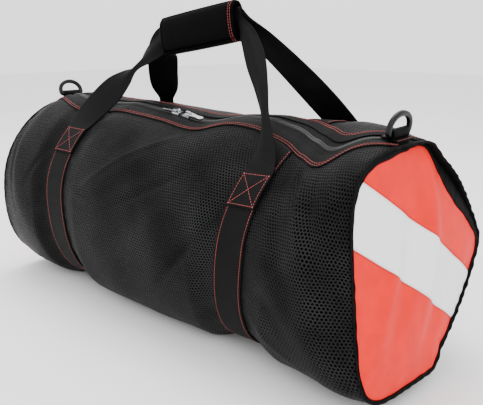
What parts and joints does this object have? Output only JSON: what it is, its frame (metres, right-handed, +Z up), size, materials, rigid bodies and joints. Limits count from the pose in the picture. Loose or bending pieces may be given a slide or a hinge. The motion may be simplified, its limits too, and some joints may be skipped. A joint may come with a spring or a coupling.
{
  "type": "mesh duffel bag",
  "caption": "Stuffed barrel duffel bag of black net with a top zip, webbing belts, two carrying handles in a padded grip, strap rings, and round end panels with a diagonal stripe.",
  "frame": {"origin": "middle of the foot of the bounding box, on the surface that the bag lies on", "axes": "+X along the bag towards the end panel that the picture shows, +Y towards the back, +Z up"},
  "size_m": [0.8, 0.3062, 0.4695],
  "materials": {
    "net": "coated open net, satin",
    "tape": "woven tape, satin",
    "coil": "moulded coil, satin",
    "webbing": "ribbed webbing, satin",
    "red_cloth": "coated nylon, half gloss",
    "white_cloth": "coated nylon, half gloss",
    "binding": "woven tape, matt",
    "grip": "smooth nylon over padding, satin",
    "ring_plastic": "moulded plastic, glossy",
    "zip_metal": "plated metal, polished"
  },
  "bodies": {
    "bag": {"net_barrel": "net", "zip_tape_front": "tape", "zip_facing_front": "tape", "zip_tape_back": "tape", "zip_facing_back": "tape", "zip_coil": "coil", "belt_left": "webbing", "belt_right": "webbing", "flag_upper_left": "red_cloth", "flag_stripe_left": "white_cloth", "flag_lower_left": "red_cloth", "end_binding_left": "binding", "flag_upper_right": "red_cloth", "flag_stripe_right": "white_cloth", "flag_lower_right": "red_cloth", "end_binding_right": "binding", "grip_wrap": "grip", "handle_front": "webbing", "handle_back": "webbing", "ring_tab_left": "webbing", "ring_tab_right": "webbing", "zip_slider_left": "zip_metal", "zip_slider_right": "zip_metal"},
    "ring_left": {"d_ring_left": "ring_plastic"},
    "ring_right": {"d_ring_right": "ring_plastic"},
    "pull_left": {"zip_pull_left": "zip_metal"},
    "pull_right": {"zip_pull_right": "zip_metal"}
  },
  "joints": [
    {"name": "ring_left_swing", "type": "hinge", "parent": "bag", "child": "ring_left", "pos_m": [-0.35557, 0.00414, 0.31621], "axis": [0.0026, 1, -0.0073], "range_deg": [-80, 80]},
    {"name": "ring_right_swing", "type": "hinge", "parent": "bag", "child": "ring_right", "pos_m": [0.35653, -0.02457, 0.31673], "axis": [0.0093, 0.9987, 0.0508], "range_deg": [-80, 80]},
    {"name": "pull_left_lift", "type": "hinge", "parent": "bag", "child": "pull_left", "pos_m": [-0.02428, -0.02283, 0.31194], "axis": [0.0685, 0.9756, 0.2087], "range_deg": [0, 105]},
    {"name": "pull_right_lift", "type": "hinge", "parent": "bag", "child": "pull_right", "pos_m": [0.00156, -0.02468, 0.30965], "axis": [-0.1045, -0.9684, -0.2264], "range_deg": [0, 105]}
  ]
}
